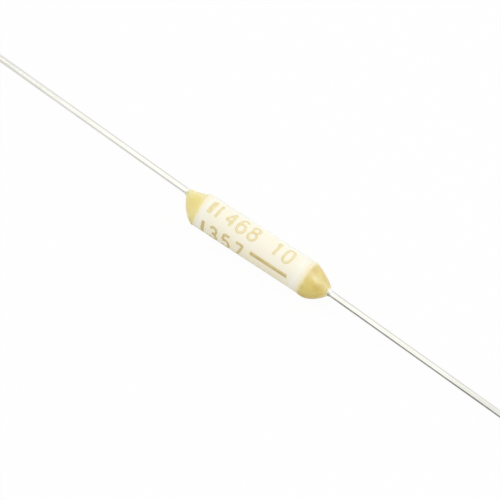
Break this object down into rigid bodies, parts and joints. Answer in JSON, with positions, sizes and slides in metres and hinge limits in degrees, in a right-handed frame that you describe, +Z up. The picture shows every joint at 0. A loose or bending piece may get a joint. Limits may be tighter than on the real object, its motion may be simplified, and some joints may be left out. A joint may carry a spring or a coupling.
{
  "type": "thermal fuse",
  "caption": "Axial thermal fuse: a white ceramic tube with tan resin ends and straight tinned wire leads, holding a fusible alloy link in flux.",
  "frame": {"origin": "centre of the ceramic tube", "axes": "+X along the leads, toward the end with the taller resin seal; +Z up with the fuse lying on its side; the tube sits 2.4 degrees askew on the leads, about Z"},
  "size_m": [0.0853, 0.0036, 0.0032],
  "materials": {
    "ceramic": "smooth, unglazed white ceramic",
    "resin": "cured tan epoxy resin, semi-gloss",
    "tinned_wire": "bright tinned copper wire",
    "alloy": "dull low-melting alloy",
    "flux": "solid amber rosin flux"
  },
  "bodies": {
    "root": {"ceramic_tube": "ceramic", "resin_seal_left": "resin", "resin_seal_right": "resin", "lead_left": "tinned_wire", "lead_right": "tinned_wire", "fusible_link": "alloy", "flux_coat": "flux"}
  },
  "joints": []
}
